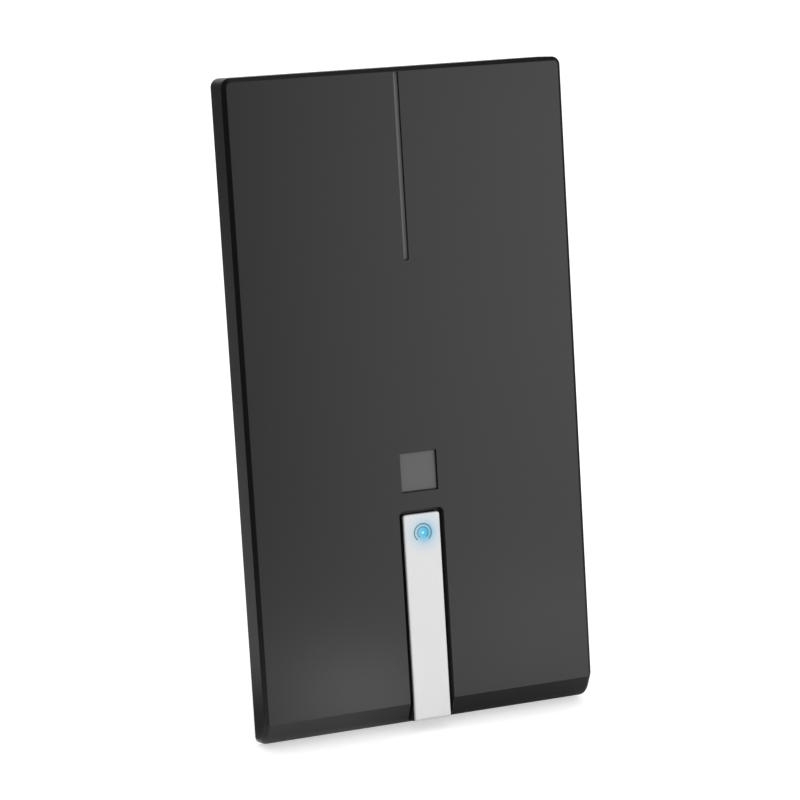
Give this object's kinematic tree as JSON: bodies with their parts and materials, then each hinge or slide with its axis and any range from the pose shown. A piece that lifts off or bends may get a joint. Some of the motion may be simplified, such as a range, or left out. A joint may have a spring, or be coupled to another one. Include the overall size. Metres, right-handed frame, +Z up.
{
  "type": "amplified indoor TV antenna",
  "caption": "Flat dark panel antenna that leans back on a rear foot, with a pale lit strip in its face, a built-in amplifier board and a coaxial socket behind.",
  "frame": {"origin": "on the table, under the middle of the object's box", "axes": "+Z up, the face looks towards -Y and leans back towards +Y, +X to the right seen from the front"},
  "size_m": [0.13, 0.0584, 0.241],
  "materials": {
    "front_plastic": "fine satin grain",
    "rear_plastic": "fine matt grain",
    "carrier_plastic": "matt",
    "strip_plastic": "smooth satin, light-passing",
    "clear_plastic": "clear",
    "lamp_epoxy": "clear lens over a pale base",
    "board_laminate": "solder mask",
    "chip_black": "moulded",
    "ceramic_tan": "fired",
    "ferrite_grey": "fired",
    "tinned_sheet": "bright tin plate",
    "radiator_sheet": "rolled",
    "copper_wire": "enamelled",
    "nickel_plate": "satin nickel",
    "contact_brass": "plated",
    "insulator_white": "waxy",
    "screw_steel": "black zinc",
    "foot_plastic": "fine matt grain",
    "pad_rubber": "matt"
  },
  "bodies": {
    "root": {"front_cover": "front_plastic", "rear_cover": "rear_plastic", "strip_carrier": "carrier_plastic", "indicator_strip": "strip_plastic", "light_guide": "clear_plastic", "status_lamp": "lamp_epoxy", "amplifier_board": "board_laminate", "shield_frame": "tinned_sheet", "shield_lid": "tinned_sheet", "amplifier_chip": "chip_black", "filter_module": "chip_black", "chip_parts": "ceramic_tan", "voltage_regulator": "chip_black", "supply_capacitor": "radiator_sheet", "supply_choke": "ferrite_grey", "balun_core": "ferrite_grey", "balun_winding": "copper_wire", "radiator_left": "radiator_sheet", "radiator_right": "radiator_sheet", "feed_leads": "copper_wire", "coax_socket": "nickel_plate", "coax_insulator": "insulator_white", "coax_contact": "contact_brass", "coax_washer": "nickel_plate", "coax_nut": "nickel_plate", "stand_foot": "foot_plastic", "foot_pads": "pad_rubber", "cover_screws": "screw_steel", "board_screws": "tinned_sheet", "carrier_screws": "tinned_sheet", "foot_screws": "screw_steel"}
  },
  "joints": []
}
